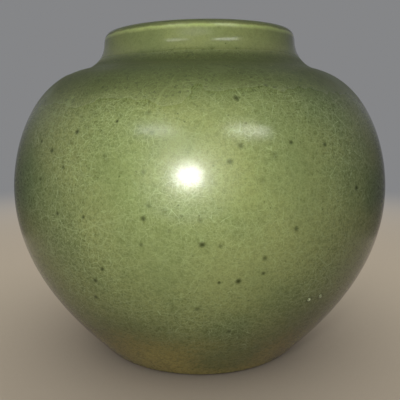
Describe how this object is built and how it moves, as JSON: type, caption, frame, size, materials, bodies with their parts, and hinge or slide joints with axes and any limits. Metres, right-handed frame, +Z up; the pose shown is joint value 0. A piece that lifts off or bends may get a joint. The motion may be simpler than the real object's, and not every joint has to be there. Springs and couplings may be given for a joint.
{
  "type": "pottery vase",
  "caption": "Globular thrown stoneware jar with a short collar and rounded lip, crackled green celadon glaze inside and out, and a bare clay foot ring.",
  "frame": {"origin": "centre of the foot ring's underside, on the surface that the vase stands on", "axes": "+Z up along the axis of the vase, out of the mouth; -Y towards the side that the picture shows"},
  "size_m": [0.24, 0.24, 0.2047],
  "materials": {
    "body_clay": "fired grey-buff stoneware, matt",
    "foot_clay": "bare stoneware flashed reddish brown, matt",
    "joining_slip": "fired joining slip, matt",
    "celadon_glaze": "glossy green celadon glaze with fine pale crackle and dark iron specks",
    "liner_glaze": "glossy green celadon glaze with fine crackle"
  },
  "bodies": {
    "root": {"foot_ring": "foot_clay", "foot_slip_seam": "joining_slip", "lower_bowl": "body_clay", "waist_slip_seam": "joining_slip", "upper_bowl": "body_clay", "collar_slip_seam": "joining_slip", "neck_collar": "body_clay", "base_glaze": "liner_glaze", "inner_glaze": "liner_glaze", "outer_glaze": "celadon_glaze"}
  },
  "joints": []
}
